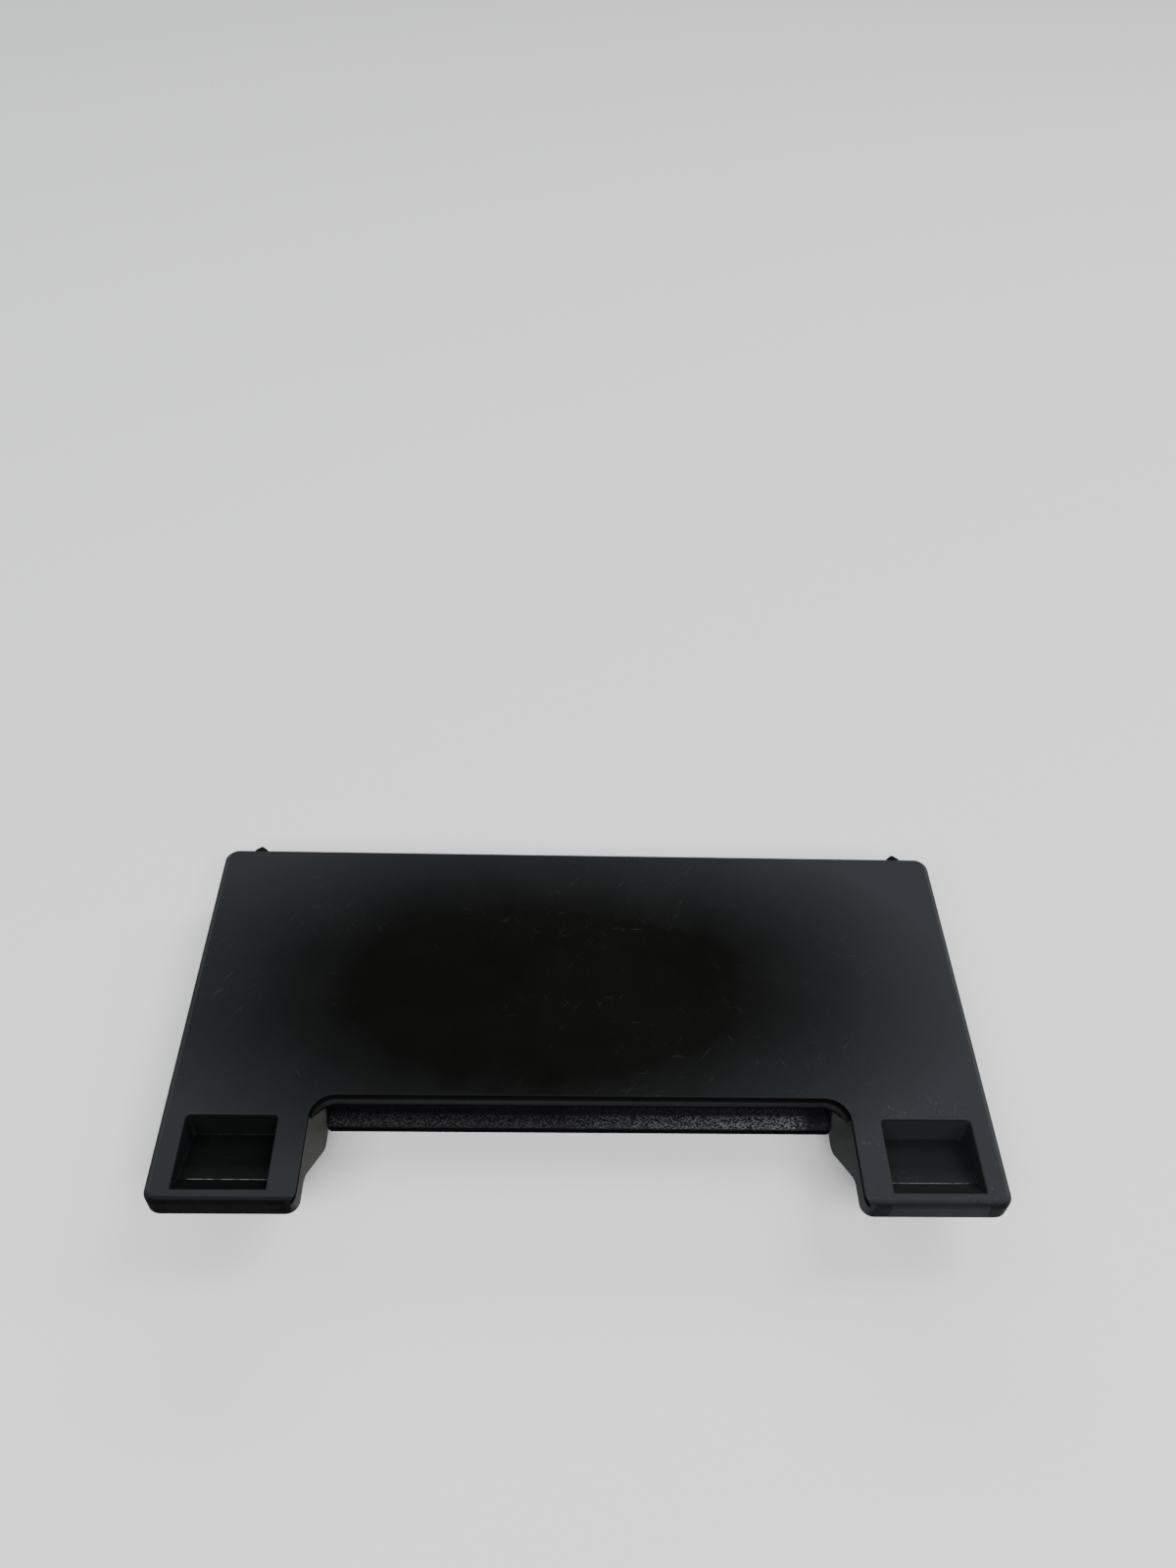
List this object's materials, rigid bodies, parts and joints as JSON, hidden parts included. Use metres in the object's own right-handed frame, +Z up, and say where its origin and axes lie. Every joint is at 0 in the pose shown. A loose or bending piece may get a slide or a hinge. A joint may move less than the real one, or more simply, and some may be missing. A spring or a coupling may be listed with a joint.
{
  "type": "flatbed barcode scanner",
  "caption": "Low flatbed counter scanner: hinged flat lid shell with two arms and wells over a glass bed, with a belt-driven sensor bar inside the base.",
  "frame": {"origin": "middle of the footprint's bounding box, on the surface the feet stand on", "axes": "+X to the right along the length, +Y to the back, +Z up; the two arms point to -Y, towards the user"},
  "size_m": [0.292, 0.1554, 0.034],
  "materials": {
    "satin_black_shell": "satin black moulded plastic, fine grain, slightly worn",
    "glossy_black_band": "polished black plastic",
    "satin_black_base": "satin black moulded plastic",
    "grained_black_sill": "coarse grained black plastic",
    "grey_foam": "soft closed-cell foam",
    "white_film": "matt white film",
    "black_rubber": "black rubber",
    "clear_glass": "clear float glass",
    "bright_steel": "ground steel",
    "steel_plate": "zinc plated steel sheet",
    "zinc_screws": "zinc plated screws",
    "grey_plastic": "dark grey moulded plastic",
    "white_gear_plastic": "natural acetal",
    "green_board": "green solder mask",
    "black_chips": "black moulded resin",
    "aluminium_cans": "bright aluminium cans",
    "white_connector": "cream nylon",
    "gold_contacts": "gold plated spring contacts",
    "brass_standoffs": "turned brass",
    "light_guide_acrylic": "clear acrylic light guide with a faint red tint"
  },
  "bodies": {
    "lid": {"lid_shell": "satin_black_shell", "grip_band": "glossy_black_band", "lid_foam_pad": "grey_foam", "lid_white_sheet": "white_film"},
    "base": {"base_tub": "satin_black_base", "front_sill": "grained_black_sill", "bed_frame": "satin_black_base", "glass_gasket": "black_rubber", "scan_glass": "clear_glass", "calibration_strip": "white_film", "lid_bumpers": "black_rubber", "rubber_feet": "black_rubber", "case_screws": "zinc_screws", "hinge_bracket_left": "steel_plate", "hinge_bracket_right": "steel_plate", "hinge_pins": "bright_steel", "hinge_screws": "zinc_screws", "guide_rod": "bright_steel", "rod_cradles": "grey_plastic", "drive_belt": "black_rubber", "pulley_post": "bright_steel", "idler_bracket": "steel_plate", "idler_pin": "bright_steel", "tension_spring": "bright_steel", "spring_anchor": "grey_plastic", "stepper_motor": "steel_plate", "motor_posts": "grey_plastic", "motor_screws": "zinc_screws", "main_board": "green_board", "board_standoffs": "brass_standoffs", "board_screws": "zinc_screws", "board_chips": "black_chips", "board_capacitors": "aluminium_cans", "beeper": "black_chips", "ribbon_connector": "white_connector", "data_socket": "black_chips", "socket_contacts": "gold_contacts", "home_sensor": "black_chips"},
    "scan_carriage": {"carriage": "grey_plastic", "rod_bushes": "brass_standoffs", "belt_clamp": "grey_plastic", "sensor_housing": "black_chips", "rod_lens_array": "clear_glass", "light_guide": "light_guide_acrylic", "sensor_board": "green_board", "leaf_springs": "bright_steel", "glide_pads": "white_connector"},
    "belt_pulley": {"drive_pulley": "white_gear_plastic", "reduction_gear": "white_gear_plastic"},
    "belt_idler": {"idler_pulley": "white_gear_plastic"},
    "motor_rotor": {"motor_pinion": "brass_standoffs", "motor_shaft": "bright_steel"}
  },
  "joints": [
    {"name": "lid_hinge", "type": "hinge", "parent": "base", "child": "lid", "pos_m": [0, 0.06995, 0.0275], "axis": [-1, 0, 0], "range_deg": [0, 90]},
    {"name": "carriage_slide", "type": "slide", "parent": "base", "child": "scan_carriage", "axis": [1, 0, 0], "range_m": [0, 0.19]},
    {"name": "pulley_spin", "type": "hinge", "parent": "base", "child": "belt_pulley", "pos_m": [0.122, 0.044, 0.01], "axis": [0, 0, 1], "range_deg": [-1640, 0]},
    {"name": "idler_spin", "type": "hinge", "parent": "base", "child": "belt_idler", "pos_m": [-0.126, 0.044, 0.008], "axis": [0, 0, 1], "range_deg": [-1640, 0]},
    {"name": "motor_spin", "type": "hinge", "parent": "base", "child": "motor_rotor", "pos_m": [0.122, 0.0248, 0.018], "axis": [0, 0, 1], "range_deg": [0, 4920]}
  ],
  "couplings": [
    {"joint": "pulley_spin", "follows": "carriage_slide", "rad_per_m": -150.38},
    {"joint": "idler_spin", "follows": "carriage_slide", "rad_per_m": -150.38},
    {"joint": "motor_spin", "follows": "carriage_slide", "rad_per_m": 451.13}
  ]
}
